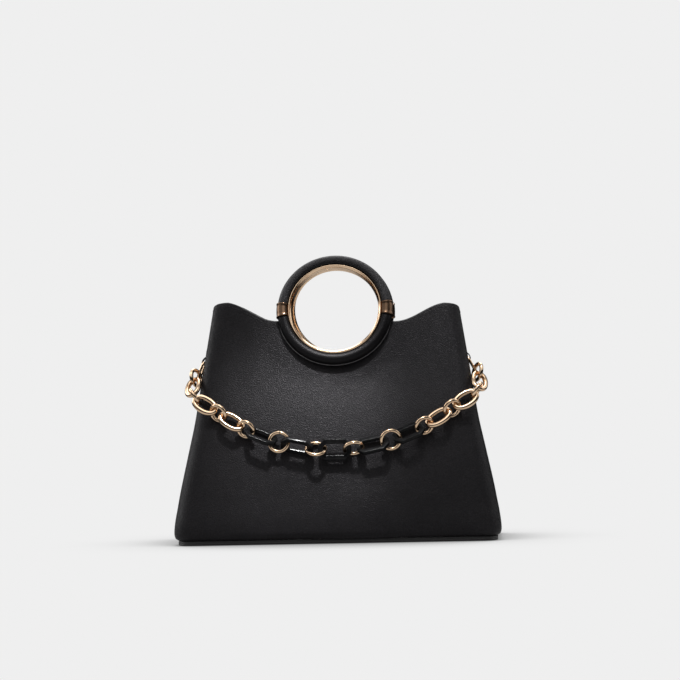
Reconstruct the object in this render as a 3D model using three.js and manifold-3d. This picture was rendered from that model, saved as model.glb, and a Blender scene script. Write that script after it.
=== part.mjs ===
// A small A-line handbag of black leather, open at the top, with a ring handle on each face and a
// chain draped across the front. Millimetres, +Z up. The front faces -Y, and +X is to the right of
// someone who looks at the front. The origin is the middle of the sole's underside.

import * as THREE from 'three';
import { mergeVertices } from 'three/addons/utils/BufferGeometryUtils.js';
import Module from 'manifold-3d';

// Driving dimensions

const CLEARANCE = 0.3; // gap between pieces that touch on the real bag
const WALL = 2.1; // leather wall
const SEAM_HALF_GAP = 0.2; // from the side seam's plane to each panel's edge

const SOLE = { halfWidth: 146.3, halfDepth: 65, height: 4.5, cornerRadius: 14 };

// Level sections of the body. The corner is a quarter ellipse, fold is how far the gusset's middle
// folds inwards at the side seam, and belly is how far the middle of the face bows out.
const BODY_SECTIONS = [
  { z: 4.8, halfWidth: 146.3, halfDepth: 64.8, cornerX: 13, cornerY: 13, fold: 0, belly: 0 },
  { z: 7, halfWidth: 148.9, halfDepth: 68.2, cornerX: 15, cornerY: 15, fold: 0, belly: 0 },
  { z: 11, halfWidth: 149.7, halfDepth: 69.8, cornerX: 16, cornerY: 16, fold: 0, belly: 0 },
  { z: 38, halfWidth: 146, halfDepth: 65.2, cornerX: 16, cornerY: 16, fold: 0, belly: 1.6 },
  { z: 82, halfWidth: 137.2, halfDepth: 55.5, cornerX: 15.5, cornerY: 15, fold: 0.3, belly: 2.4 },
  { z: 112, halfWidth: 131, halfDepth: 47.8, cornerX: 15, cornerY: 13.5, fold: 1, belly: 1.6 },
  { z: 150, halfWidth: 125.2, halfDepth: 36.9, cornerX: 14.5, cornerY: 12, fold: 4, belly: 0 },
  { z: 228, halfWidth: 113.3, halfDepth: 13.1, cornerX: 14, cornerY: 7.3, fold: 11, belly: 0 },
];
const UPPER_ROW_SHARES = [0.4, 0.75, 1]; // rows between the flat upper face's start and the top edge
const LEAN = THREE.MathUtils.degToRad(17); // how far the upper face leans back

// The wavy top edge: low across the ring, rising to a shoulder near each corner
const TOP_EDGE = { trough: 204.2, troughHalf: 53, peak: 221.9, peakAt: 105, skew: 0.025 };
const TOP_CORNER_DROP = 4.5; // fall round the corner
const TOP_SEAM_DROP = 22; // fall from the shoulder to the side seam

// Columns of a panel, as shares of the gusset, of the corner's quarter turn and of the half face
const GUSSET_SHARES = [0, 0.4, 0.75];
const CORNER_SHARES = [0, 0.25, 0.5, 0.75];
const FACE_SHARES = [1, 0.92, 0.83, 0.74, 0.65, 0.55, 0.42, 0.22];

// Ring handle, in its own plane about its centre
const RING = { centreY: -22, centreZ: 214, tubeAt: 47.75, tubeRadius: 5.75 };
const RING_CUT_RADIUS = 51.7; // scoop in the panel behind the ring
const RING_CUT_DEPTH = 16;
const LINER = { inner: 40.6, outer: 44, halfDepth: 5.3, lip: 1.2, innerBevel: 2.1 };
const FERRULE = { radius: 7.05, waist: 6.65, halfHeight: 6.2, rim: 1.1, step: 0.25 };

// Wire and outer sizes of the links. Slack is how much shorter than its hole a link's span is.
const ROUND_LINK = { outer: 18.8, wire: 3.2, sides: 12, slack: 0.6 };
const SPACER_RING = { outer: 20.6, wire: 2.8, sides: 14, slack: 0.5 };
const OVAL_LINK = { length: 27, width: 16.8, wire: 4.1, sides: 16, squareness: 2.6, slack: 0.5 };
const BLACK_LINK = {
  length: 30.4, width: 19.2, bar: 4.6, thickness: 4.2, bevel: 1, corner: 4.4, slack: 1,
};

// The chain's path from its lowest point to the side ring on the right, and mirrored on the left
const CHAIN_PATH = [
  { x: 0, y: -67, z: 85.2 },
  { x: 50, y: -64.4, z: 92.7 },
  { x: 89, y: -58.2, z: 109 },
  { x: 110, y: -53, z: 122.5 },
  { x: 127.2, y: -47.2, z: 133 },
  { x: 133.2, y: -36.5, z: 141.5 },
  { x: 132.6, y: -25.5, z: 150 },
  { x: 129.1, y: -15, z: 156.5 },
];

// The links from the chain's middle outwards. Roll turns a link about the chain's run, in degrees
// from lying flat against the body, on the left and on the right.
const CHAIN_LINKS = [
  { kind: 'black', left: 0, right: 0 },
  { kind: 'spacer', left: -54, right: 54 },
  { kind: 'black', left: 50, right: -46 },
  { kind: 'spacer', left: -5, right: 17 },
  { kind: 'black', left: -60, right: -50 },
  { kind: 'round', left: 32, right: 32 },
  { kind: 'oval', left: -34, right: -34 },
  { kind: 'round', left: 38, right: 38 },
  { kind: 'oval', left: -30, right: -30 },
  { kind: 'round', left: 44, right: 44 },
  { kind: 'oval', left: -54, right: -54 },
  { kind: 'round', left: 25, right: 25 },
];

// D-shaped side ring and the leather tab that holds its straight bar
const SIDE_RING = { hole: 18, leg: 6, wire: 2.6, lean: THREE.MathUtils.degToRad(21.5) };
const TAB = { width: 9, length: 13, layer: 0.9 };

// How finely the round stretches are divided

const CUT_SIDES = 48;
const SOLE_CORNER_STEPS = 6;
const TUBE_POINTS = 10;
const WRAP_STEPS = 16;
const LINER_SIDES = 36;
const WIRE_SIDES = 6;
const SIDE_RING_STEPS = 8;
const TAB_ROUND_STEPS = 8;
const PLACE_HALVINGS = 40; // of the search for a place on the chain's path
const SAME_POINT = 1e-4; // points closer than this are one point

// Materials

const LEATHER = { color: 0x1d1b1c, roughness: 0.55, metalness: 0 };
const GOLD = { color: 0xd9b48a, roughness: 0.22, metalness: 1 };
const BRONZE = { color: 0x6a4a34, roughness: 0.3, metalness: 1 };
const ENAMEL = { color: 0x0c0c0d, roughness: 0.15, metalness: 0.1 };

const bag = new THREE.Group();

const range = (count) => Array.from({ length: count }, (_, k) => k);

function addPiece(name, geometry, finish, parent = bag) {
  const mesh = new THREE.Mesh(geometry, new THREE.MeshStandardMaterial(finish));
  mesh.name = name;
  parent.add(mesh);
  return mesh;
}

// Solids from points

// A closed solid whose faces are turned to point outwards
function solidFrom(points, triangles) {
  let volume = 0;
  for (const [a, b, c] of triangles) {
    volume += points[a].dot(new THREE.Vector3().crossVectors(points[b], points[c]));
  }
  const outward = volume > 0 ? triangles : triangles.map(([a, b, c]) => [a, c, b]);
  const geometry = new THREE.BufferGeometry().setFromPoints(points);
  geometry.setIndex(outward.flat());
  geometry.computeVertexNormals();
  return geometry;
}

// A skin over a row of equal loops, which closes on itself or has flat ends
function skinOver(loops, closed) {
  const size = loops[0].length;
  const triangles = [];
  const spans = closed ? loops.length : loops.length - 1;
  for (let i = 0; i < spans; i += 1) {
    const near = i * size;
    const far = ((i + 1) % loops.length) * size;
    for (let j = 0; j < size; j += 1) {
      const next = (j + 1) % size;
      triangles.push([near + j, near + next, far + next]);
      triangles.push([near + j, far + next, far + j]);
    }
  }
  if (!closed) {
    const last = (loops.length - 1) * size;
    for (let j = 1; j < size - 1; j += 1) {
      triangles.push([0, j + 1, j]);
      triangles.push([last, last + j, last + j + 1]);
    }
  }
  return solidFrom(loops.flat(), triangles);
}

// Leather body

function bodySection(z) {
  const upper = BODY_SECTIONS.findIndex((row) => row.z >= z);
  const above = BODY_SECTIONS[Math.max(upper, 1)];
  const below = BODY_SECTIONS[Math.max(upper, 1) - 1];
  const share = (z - below.z) / (above.z - below.z);
  const section = {};
  for (const key of Object.keys(above)) {
    section[key] = THREE.MathUtils.lerp(below[key], above[key], share);
  }
  return section;
}

function topEdgeAt(x) {
  const run = (Math.abs(x) - TOP_EDGE.troughHalf) / (TOP_EDGE.peakAt - TOP_EDGE.troughHalf);
  const rise = (1 - Math.cos(Math.PI * THREE.MathUtils.clamp(run, 0, 1))) / 2;
  return TOP_EDGE.trough + (TOP_EDGE.peak - TOP_EDGE.trough) * rise - TOP_EDGE.skew * x;
}

// A column of the panel: which stretch of the outline it is on, how far along, and on which side
function panelColumns() {
  const half = [
    ...GUSSET_SHARES.map((share) => ({ stretch: 'gusset', share })),
    ...CORNER_SHARES.map((share) => ({ stretch: 'corner', share })),
    ...FACE_SHARES.map((share) => ({ stretch: 'face', share })),
  ];
  const left = half.map((column) => ({ ...column, side: -1 }));
  const right = half.map((column) => ({ ...column, side: 1 })).reverse();
  return [...left, { stretch: 'face', share: 0, side: 1 }, ...right];
}

function columnTop({ stretch, share, side }) {
  const { halfWidth, cornerX } = bodySection(TOP_EDGE.peak);
  const faceHalf = halfWidth - cornerX;
  if (stretch === 'face') {
    return topEdgeAt(side * share * faceHalf);
  }
  const shoulder = topEdgeAt(side * faceHalf);
  if (stretch === 'corner') {
    return shoulder - TOP_CORNER_DROP * (1 - share) ** 2;
  }
  return shoulder - THREE.MathUtils.lerp(TOP_SEAM_DROP, TOP_CORNER_DROP, share);
}

// A point of the outer face at a height, with facing -1 for the front and +1 for the back
function panelPoint({ stretch, share, side }, z, facing) {
  const { halfWidth, halfDepth, cornerX, cornerY, fold, belly } = bodySection(z);
  const faceHalf = halfWidth - cornerX;
  const gussetHalf = halfDepth - cornerY;
  let x = share * faceHalf;
  let y = halfDepth + belly * (1 - share ** 2);
  if (stretch === 'corner') {
    const turn = (share * Math.PI) / 2;
    x = faceHalf + cornerX * Math.cos(turn);
    y = gussetHalf + cornerY * Math.sin(turn);
  }
  if (stretch === 'gusset') {
    x = halfWidth - fold * (1 - share) ** 2;
    y = THREE.MathUtils.lerp(SEAM_HALF_GAP, gussetHalf, share);
  }
  return new THREE.Vector3(side * x, facing * y, z);
}

// Outward normals of a grid of points, from the neighbours along each row and column
function gridNormals(grid, facing) {
  const lastRow = grid.length - 1;
  const lastColumn = grid[0].length - 1;
  return grid.map((row, i) => row.map((_, j) => {
    const along = grid[i][Math.min(j + 1, lastColumn)].clone().sub(grid[i][Math.max(j - 1, 0)]);
    const up = grid[Math.min(i + 1, lastRow)][j].clone().sub(grid[Math.max(i - 1, 0)][j]);
    return along.cross(up).multiplyScalar(-facing).normalize();
  }));
}

// A wall: the outer grid, the inner grid one wall behind it, and the rim between them
function wallFrom(outer, normals) {
  const rows = outer.length;
  const columns = outer[0].length;
  const inner = outer.map((row, i) => row.map((point, j) => (
    point.clone().addScaledVector(normals[i][j], -WALL)
  )));
  const triangles = [];
  const quad = (a, b, c, d) => triangles.push([a, b, c], [a, c, d]);
  const out = (i, j) => i * columns + j;
  const back = (i, j) => rows * columns + i * columns + j;
  for (let i = 0; i < rows - 1; i += 1) {
    for (let j = 0; j < columns - 1; j += 1) {
      quad(out(i, j), out(i, j + 1), out(i + 1, j + 1), out(i + 1, j));
      quad(back(i, j), back(i + 1, j), back(i + 1, j + 1), back(i, j + 1));
    }
  }
  const rim = [
    ...range(columns).map((j) => [0, j]),
    ...range(rows).slice(1).map((i) => [i, columns - 1]),
    ...range(columns).slice(0, -1).reverse().map((j) => [rows - 1, j]),
    ...range(rows).slice(1, -1).reverse().map((i) => [i, 0]),
  ];
  rim.forEach((here, k) => {
    const next = rim[(k + 1) % rim.length];
    quad(out(...here), back(...here), back(...next), out(...next));
  });
  return solidFrom([...outer.flat(), ...inner.flat()], triangles);
}

function panelWall(facing) {
  const columns = panelColumns();
  const upperStart = BODY_SECTIONS.at(-2).z;
  const rows = BODY_SECTIONS.slice(0, -1).map((section) => columns.map(() => section.z));
  for (const share of UPPER_ROW_SHARES) {
    rows.push(columns.map((column) => THREE.MathUtils.lerp(upperStart, columnTop(column), share)));
  }
  const grid = rows.map((heights) => (
    heights.map((z, j) => panelPoint(columns[j], z, facing))
  ));
  return wallFrom(grid, gridNormals(grid, facing));
}

// Cuts

const wasm = await Module();
wasm.setup();

function toManifold(geometry) {
  const bare = geometry.clone();
  bare.deleteAttribute('normal');
  bare.deleteAttribute('uv');
  const merged = mergeVertices(bare, SAME_POINT);
  return new wasm.Manifold(new wasm.Mesh({
    numProp: 3,
    vertProperties: new Float32Array(merged.attributes.position.array),
    triVerts: new Uint32Array(merged.index.array),
  }));
}

function toGeometry(manifold) {
  const { vertProperties, triVerts } = manifold.getMesh();
  const geometry = new THREE.BufferGeometry();
  geometry.setAttribute('position', new THREE.BufferAttribute(vertProperties, 3));
  geometry.setIndex(new THREE.BufferAttribute(triVerts, 1));
  geometry.computeVertexNormals();
  return geometry;
}

// The ring's own frame: its plane leans back with the upper face, and its axis points out
function ringFrame(facing) {
  const frame = new THREE.Group();
  const turn = new THREE.Group();
  turn.rotation.z = facing < 0 ? 0 : Math.PI;
  frame.position.set(0, RING.centreY, RING.centreZ);
  frame.rotation.x = Math.PI / 2 - LEAN;
  turn.add(frame);
  turn.updateMatrixWorld(true);
  return { turn, frame };
}

// The round scoop behind the ring handle
function ringCutter(facing) {
  const scoop = new THREE.CylinderGeometry(RING_CUT_RADIUS, RING_CUT_RADIUS, RING_CUT_DEPTH, CUT_SIDES);
  scoop.rotateX(Math.PI / 2);
  scoop.applyMatrix4(ringFrame(facing).frame.matrixWorld);
  return toManifold(scoop);
}

function leatherPanel(facing) {
  return toGeometry(toManifold(panelWall(facing)).subtract(ringCutter(facing)));
}

function roundedRectangle(halfWidth, halfDepth, radius) {
  const shape = new THREE.Shape();
  shape.absarc(halfWidth - radius, halfDepth - radius, radius, 0, Math.PI / 2);
  shape.absarc(radius - halfWidth, halfDepth - radius, radius, Math.PI / 2, Math.PI);
  shape.absarc(radius - halfWidth, radius - halfDepth, radius, Math.PI, 1.5 * Math.PI);
  shape.absarc(halfWidth - radius, radius - halfDepth, radius, 1.5 * Math.PI, 2 * Math.PI);
  return shape;
}

function soleSlab() {
  const outline = roundedRectangle(SOLE.halfWidth, SOLE.halfDepth, SOLE.cornerRadius);
  return new THREE.ExtrudeGeometry(outline, {
    depth: SOLE.height,
    bevelEnabled: false,
    curveSegments: SOLE_CORNER_STEPS,
  });
}

// Ring handles

// Points of a round section of the tube, flat where it lies against the liner: distance from the
// ring's axis, and height along the axis
function tubeSection(radius) {
  const flatAt = LINER.outer + CLEARANCE;
  const reach = Math.acos((flatAt - RING.tubeAt) / radius);
  return range(TUBE_POINTS).map((k) => {
    const angle = -reach + (2 * reach * k) / (TUBE_POINTS - 1);
    return { from: RING.tubeAt + radius * Math.cos(angle), along: radius * Math.sin(angle) };
  });
}

function sectionLoop(section, angle) {
  return section.map(({ from, along }) => (
    new THREE.Vector3(from * Math.cos(angle), from * Math.sin(angle), along)
  ));
}

// The tube's leather between the ferrules, on the upper or the lower half
function halfWrap(start) {
  const ends = (FERRULE.halfHeight + CLEARANCE) / RING.tubeAt;
  const sweep = Math.PI - 2 * ends;
  const section = tubeSection(RING.tubeRadius);
  const loops = range(WRAP_STEPS + 1).map((k) => (
    sectionLoop(section, start + ends + (sweep * k) / WRAP_STEPS)
  ));
  return skinOver(loops, false);
}

// A sleeve over a joint of the wraps, with a raised rim at each end
function ferrule(middle) {
  const { halfHeight, rim, step, radius, waist } = FERRULE;
  const profile = [
    { at: -halfHeight, size: radius },
    { at: -halfHeight + rim, size: radius },
    { at: -halfHeight + rim + step, size: waist },
    { at: 0, size: waist },
    { at: halfHeight - rim - step, size: waist },
    { at: halfHeight - rim, size: radius },
    { at: halfHeight, size: radius },
  ];
  const loops = profile.map(({ at, size }) => (
    sectionLoop(tubeSection(size), middle + at / RING.tubeAt)
  ));
  return skinOver(loops, false);
}

function linerRing() {
  const { inner, outer, halfDepth, lip, innerBevel } = LINER;
  const crown = (inner + outer) / 2;
  const half = [
    { from: outer, along: halfDepth - lip },
    { from: outer - lip, along: halfDepth },
    { from: crown, along: halfDepth },
    { from: inner, along: halfDepth - innerBevel },
  ];
  const section = [...half, ...half.map(({ from, along }) => ({ from, along: -along })).reverse()];
  const loops = range(LINER_SIDES).map((k) => (
    sectionLoop(section, (2 * Math.PI * k) / LINER_SIDES)
  ));
  return skinOver(loops, true);
}

function ringHandle(name, facing) {
  const { turn, frame } = ringFrame(facing);
  addPiece(`${name}_upper_wrap`, halfWrap(0), LEATHER, frame);
  addPiece(`${name}_lower_wrap`, halfWrap(Math.PI), LEATHER, frame);
  addPiece(`${name}_liner`, linerRing(), GOLD, frame);
  addPiece(`${name}_ferrule_right`, ferrule(0), BRONZE, frame);
  addPiece(`${name}_ferrule_left`, ferrule(Math.PI), BRONZE, frame);
  bag.add(turn);
}

// Links, each in its own plane with its length along X

// A closed loop of wire along a counter-clockwise centreline, mitred at its points
function wireLoop(centreline, section) {
  const loops = centreline.map((point, k) => {
    const arriving = point.clone().sub(centreline.at(k - 1)).normalize();
    const leaving = centreline[(k + 1) % centreline.length].clone().sub(point).normalize();
    const tangent = arriving.clone().add(leaving).normalize();
    const mitre = 1 / tangent.dot(leaving);
    return section.map(({ out, up }) => new THREE.Vector3(
      point.x + tangent.y * out * mitre,
      point.y - tangent.x * out * mitre,
      up,
    ));
  });
  return skinOver(loops, true);
}

function roundWire(wire) {
  return range(WIRE_SIDES).map((k) => {
    const angle = (2 * Math.PI * k) / WIRE_SIDES;
    return { out: (wire / 2) * Math.cos(angle), up: (wire / 2) * Math.sin(angle) };
  });
}

function ringLink({ outer, wire, sides }) {
  const radius = (outer - wire) / 2;
  const centreline = range(sides).map((k) => {
    const angle = (2 * Math.PI * k) / sides;
    return new THREE.Vector2(radius * Math.cos(angle), radius * Math.sin(angle));
  });
  return wireLoop(centreline, roundWire(wire));
}

// An oval between an ellipse and a rectangle
function ovalLink({ length, width, wire, sides, squareness }) {
  const power = 2 / squareness;
  const centreline = range(sides).map((k) => {
    const angle = (2 * Math.PI * k) / sides;
    const across = Math.sign(Math.cos(angle)) * Math.abs(Math.cos(angle)) ** power;
    const up = Math.sign(Math.sin(angle)) * Math.abs(Math.sin(angle)) ** power;
    return new THREE.Vector2((across * (length - wire)) / 2, (up * (width - wire)) / 2);
  });
  return wireLoop(centreline, roundWire(wire));
}

// A rectangle of flat bar with its corners cut off
function blackLink({ length, width, bar, thickness, bevel, corner }) {
  const x = (length - bar) / 2;
  const y = (width - bar) / 2;
  const quarter = [[x, y - corner], [x - corner, y]];
  const centreline = [
    ...quarter,
    ...quarter.map(([a, b]) => [-a, b]).reverse(),
    ...quarter.map(([a, b]) => [-a, -b]),
    ...quarter.map(([a, b]) => [a, -b]).reverse(),
  ].map(([a, b]) => new THREE.Vector2(a, b));
  const out = bar / 2;
  const up = thickness / 2;
  const edge = [[out, up - bevel], [out - bevel, up]];
  const section = [
    ...edge,
    ...edge.map(([a, b]) => [-a, b]).reverse(),
    ...edge.map(([a, b]) => [-a, -b]),
    ...edge.map(([a, b]) => [a, -b]).reverse(),
  ].map(([a, b]) => ({ out: a, up: b }));
  return wireLoop(centreline, section);
}

// Each kind's shape, its finish, its span between two contacts, and the first part of its nodes' names
const LINK_KINDS = {
  round: {
    shape: () => ringLink(ROUND_LINK),
    finish: GOLD,
    span: ROUND_LINK.outer - 2 * ROUND_LINK.wire - ROUND_LINK.slack,
    name: 'round_link',
  },
  spacer: {
    shape: () => ringLink(SPACER_RING),
    finish: GOLD,
    span: SPACER_RING.outer - 2 * SPACER_RING.wire - SPACER_RING.slack,
    name: 'spacer_ring',
  },
  oval: {
    shape: () => ovalLink(OVAL_LINK),
    finish: GOLD,
    span: OVAL_LINK.length - 2 * OVAL_LINK.wire - OVAL_LINK.slack,
    name: 'oval_link',
  },
  black: {
    shape: () => blackLink(BLACK_LINK),
    finish: ENAMEL,
    span: BLACK_LINK.length - 2 * BLACK_LINK.bar - BLACK_LINK.slack,
    name: 'black_link',
  },
};

// Chain

function chainCurve() {
  const right = CHAIN_PATH.map(({ x, y, z }) => new THREE.Vector3(x, y, z));
  const left = CHAIN_PATH.slice(1).map(({ x, y, z }) => new THREE.Vector3(-x, y, z)).reverse();
  return new THREE.CatmullRomCurve3([...left, ...right], false, 'centripetal');
}

// The place on the curve that lies a straight distance further on
function stepAlong(curve, from, start, distance) {
  let low = start;
  let high = 1;
  for (let k = 0; k < PLACE_HALVINGS; k += 1) {
    const middle = (low + high) / 2;
    if (curve.getPoint(middle).distanceTo(from) < distance) {
      low = middle;
    } else {
      high = middle;
    }
  }
  return low;
}

// Where the right half's links touch each other, from the chain's middle to the side ring
function contactPoints() {
  const curve = chainCurve();
  let place = 0.5;
  let here = curve.getPoint(place);
  return CHAIN_LINKS.map(({ kind }, k) => {
    const { span } = LINK_KINDS[kind];
    place = stepAlong(curve, here, place, k === 0 ? span / 2 : span);
    here = curve.getPoint(place);
    return here;
  });
}

// The direction straight out of the body at a point in front of it or beside it
function awayFromBody(point) {
  const { halfWidth, halfDepth, cornerX, cornerY } = bodySection(point.z);
  const across = halfWidth - cornerX;
  const deep = halfDepth - cornerY;
  const core = new THREE.Vector3(
    THREE.MathUtils.clamp(point.x, -across, across),
    THREE.MathUtils.clamp(point.y, -deep, deep),
    point.z,
  );
  return point.clone().sub(core).normalize();
}

function placeLink(mesh, start, end, roll) {
  const along = end.clone().sub(start).normalize();
  const middle = start.clone().add(end).multiplyScalar(0.5);
  const flat = awayFromBody(middle);
  flat.addScaledVector(along, -flat.dot(along)).normalize();
  flat.applyAxisAngle(along, THREE.MathUtils.degToRad(roll));
  const across = new THREE.Vector3().crossVectors(flat, along);
  mesh.position.copy(middle);
  mesh.quaternion.setFromRotationMatrix(new THREE.Matrix4().makeBasis(along, across, flat));
}

const mirrored = (point) => new THREE.Vector3(-point.x, point.y, point.z);

// All links, named by kind and numbered from left to right
function drapedChain() {
  const contacts = contactPoints();
  const starts = [mirrored(contacts[0]), ...contacts.slice(0, -1)];
  const right = CHAIN_LINKS.map(({ kind, right: roll }, k) => (
    { kind, roll, start: starts[k], end: contacts[k] }
  ));
  const left = CHAIN_LINKS.slice(1).map(({ kind, left: roll }, k) => (
    { kind, roll, start: mirrored(contacts[k + 1]), end: mirrored(contacts[k]) }
  )).reverse();
  const counts = {};
  for (const { kind, roll, start, end } of [...left, ...right]) {
    const { shape, finish, name } = LINK_KINDS[kind];
    counts[kind] = (counts[kind] ?? 0) + 1;
    placeLink(addPiece(`${name}_${counts[kind]}`, shape(), finish), start, end, roll);
  }
  return { last: contacts.at(-1), before: contacts.at(-2) };
}

// Side rings and their tabs

// A D with its bar along X at the top, its round end down, and the round end's centre at the origin
function sideRingWire() {
  const { hole, leg, wire } = SIDE_RING;
  const radius = (hole + wire) / 2;
  const round = range(SIDE_RING_STEPS + 1).map((k) => {
    const angle = Math.PI + (Math.PI * k) / SIDE_RING_STEPS;
    return new THREE.Vector2(radius * Math.cos(angle), radius * Math.sin(angle));
  });
  const cut = wire;
  const bar = [
    new THREE.Vector2(radius, leg + wire / 2 - cut),
    new THREE.Vector2(radius - cut, leg + wire / 2),
    new THREE.Vector2(cut - radius, leg + wire / 2),
    new THREE.Vector2(-radius, leg + wire / 2 - cut),
  ];
  return wireLoop([...round, ...bar], roundWire(wire));
}

// A strip folded round the bar and laid up the gusset: its back is at X = 0 and the bar's centre at
// height 0
function tabFold() {
  const { width, length, layer } = TAB;
  const hole = SIDE_RING.wire / 2 + CLEARANCE;
  const loop = hole + layer;
  const strip = 2 * layer;
  const join = Math.acos((strip - loop) / loop);
  const outline = new THREE.Shape();
  outline.moveTo(0, 0);
  outline.absarc(loop, 0, loop, Math.PI, Math.PI * 2 + join, false);
  outline.lineTo(strip, length);
  outline.lineTo(0, length);
  const barHole = new THREE.Path();
  barHole.absarc(loop, 0, hole, 0, 2 * Math.PI, true);
  outline.holes.push(barHole);
  const fold = new THREE.ExtrudeGeometry(outline, {
    depth: width,
    bevelEnabled: false,
    curveSegments: TAB_ROUND_STEPS,
  });
  return fold.translate(0, 0, -width / 2);
}

// The side ring hangs from its tab and is drawn forwards to the chain's last link
function sideFastening(name, side, chainEnd) {
  const last = side > 0 ? chainEnd.last : mirrored(chainEnd.last);
  const before = side > 0 ? chainEnd.before : mirrored(chainEnd.before);
  const { lean, hole, leg, wire } = SIDE_RING;
  const up = new THREE.Vector3(-side * Math.sin(lean), 0, Math.cos(lean));
  const out = new THREE.Vector3(side * Math.cos(lean), 0, Math.sin(lean));
  const pull = before.clone().sub(last);
  pull.addScaledVector(out, -pull.dot(out)).normalize();
  const centre = last.clone().addScaledVector(pull, -(hole - CLEARANCE) / 2);

  const ring = addPiece(`side_ring_${name}`, sideRingWire(), GOLD);
  const across = new THREE.Vector3().crossVectors(up, out);
  ring.position.copy(centre);
  ring.quaternion.setFromRotationMatrix(new THREE.Matrix4().makeBasis(across, up, out));

  const bar = centre.clone().addScaledVector(up, leg + wire / 2);
  const low = bodySection(bar.z);
  const high = bodySection(bar.z + TAB.length);
  const slope = Math.atan2(low.halfWidth - high.halfWidth, high.z - low.z);
  const tabUp = new THREE.Vector3(-side * Math.sin(slope), 0, Math.cos(slope));
  const tabOut = new THREE.Vector3(side * Math.cos(slope), 0, Math.sin(slope));
  const tab = addPiece(`ring_tab_${name}`, tabFold(), LEATHER);
  const loop = wire / 2 + CLEARANCE + TAB.layer;
  tab.position.copy(bar).addScaledVector(tabOut, -loop);
  tab.quaternion.setFromRotationMatrix(new THREE.Matrix4().makeBasis(
    tabOut,
    tabUp,
    new THREE.Vector3().crossVectors(tabOut, tabUp),
  ));
}

// Assembly

addPiece('front_panel', leatherPanel(-1), LEATHER);
addPiece('back_panel', leatherPanel(1), LEATHER);
addPiece('sole', soleSlab(), LEATHER);
ringHandle('front_ring', -1);
ringHandle('back_ring', 1);
const chainEnd = drapedChain();
sideFastening('left', -1, chainEnd);
sideFastening('right', 1, chainEnd);

export default bag;
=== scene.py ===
"""A black leather handbag with a ring handle on each face and a chain draped across the front.

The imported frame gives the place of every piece, and this script gives the finish: grained leather
walls, wrapped rings, polished metal, enamel and thread, on a pale floor under soft light.
Lengths in the tables are millimetres, and meshes are written in metres.
"""

import math

import bpy
import numpy as np
from mathutils import Matrix, Vector


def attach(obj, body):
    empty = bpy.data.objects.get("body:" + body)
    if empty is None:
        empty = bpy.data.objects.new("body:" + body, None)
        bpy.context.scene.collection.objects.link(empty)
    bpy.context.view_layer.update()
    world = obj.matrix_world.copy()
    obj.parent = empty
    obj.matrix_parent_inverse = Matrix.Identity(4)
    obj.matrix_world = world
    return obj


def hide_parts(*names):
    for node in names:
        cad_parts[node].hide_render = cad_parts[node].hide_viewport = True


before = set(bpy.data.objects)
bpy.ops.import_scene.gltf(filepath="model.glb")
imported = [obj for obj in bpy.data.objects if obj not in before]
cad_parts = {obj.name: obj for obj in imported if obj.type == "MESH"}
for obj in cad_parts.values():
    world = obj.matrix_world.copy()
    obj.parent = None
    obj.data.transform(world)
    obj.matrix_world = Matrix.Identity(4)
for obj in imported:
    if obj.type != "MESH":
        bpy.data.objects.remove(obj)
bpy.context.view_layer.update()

MM = 0.001
CRISP_OVER = {"sole": 40, "ring": 50, "wire": 50, "bar": 30, "tab": 60}  # degrees between faces

# Leather body

WALL = 2.1
SECTION_COLUMNS = ("z", "half_width", "half_depth", "corner_x", "corner_y", "fold", "belly")
BODY_SECTIONS = [
    (4.8, 146.3, 64.8, 13.0, 13.0, 0.0, 0.0),
    (7.0, 148.9, 68.2, 15.0, 15.0, 0.0, 0.0),
    (11.0, 149.7, 69.8, 16.0, 16.0, 0.0, 0.0),
    (38.0, 146.0, 65.2, 16.0, 16.0, 0.0, 1.6),
    (82.0, 137.2, 55.5, 15.5, 15.0, 0.3, 2.4),
    (112.0, 131.0, 47.8, 15.0, 13.5, 1.0, 1.6),
    (150.0, 125.2, 36.9, 14.5, 12.0, 4.0, 0.0),
    (228.0, 113.3, 13.1, 14.0, 7.3, 11.0, 0.0),
]
UPPER_FROM = 150.0  # height where the flat upper face starts
LEAN = math.radians(17)  # how far the upper face and the rings lean back
TOP_EDGE = {"trough": 204.2, "trough_half": 53.0, "peak": 221.9, "peak_at": 105.0, "skew": 0.025}
TOP_CORNER_DROP = 4.5
TOP_SEAM_DROP = 22.0
EDGE_BULGE = 1.0  # roundness of the painted top edge
BASE_BULGE = 0.27  # of the lower edge, down to the sole
SEAM_BULGE = 0.003
SEAM_STEPS = (0.004, 0.12, 0.4, 0.8, 1.25, 1.8)  # columns of the turned edge at the side seam
TUCK_ROWS = (4.8, 5.05, 5.4, 5.85, 6.4, 7.1, 8.0, 9.1, 10.4, 12.0, 14.0, 16.5)
ROW_STEP = 3.5
UPPER_ROWS = 26
GUSSET_COLUMNS = 16
CORNER_COLUMNS = 16
SHOULDER_COLUMNS = 18
SCOOP_COLUMNS = 30
RIM_TURNS = (60, 30, 0, -30, -60)  # degrees round the edge from the outer face

# Soft hollows and swells of the front and back faces: x and z of the middle, reach across and up, height
SWELLS = [
    (-18.0, 166.0, 130.0, 32.0, -1.9),
    (-27.0, 142.0, 46.0, 60.0, 1.4),
    (-8.0, 84.0, 55.0, 38.0, 1.4),
    (18.0, 30.0, 40.0, 28.0, 2.6),
    (-91.0, 190.0, 9.0, 45.0, -0.9),
    (-73.0, 190.0, 9.0, 45.0, 0.8),
    (99.0, 180.0, 9.0, 45.0, 0.3),
]
SWELL_FADE = 24.0  # from the ring's cut to where the face is free

# Sole

SOLE = {"half_width": 146.3, "half_depth": 65.0, "corner": 14.0}
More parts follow.
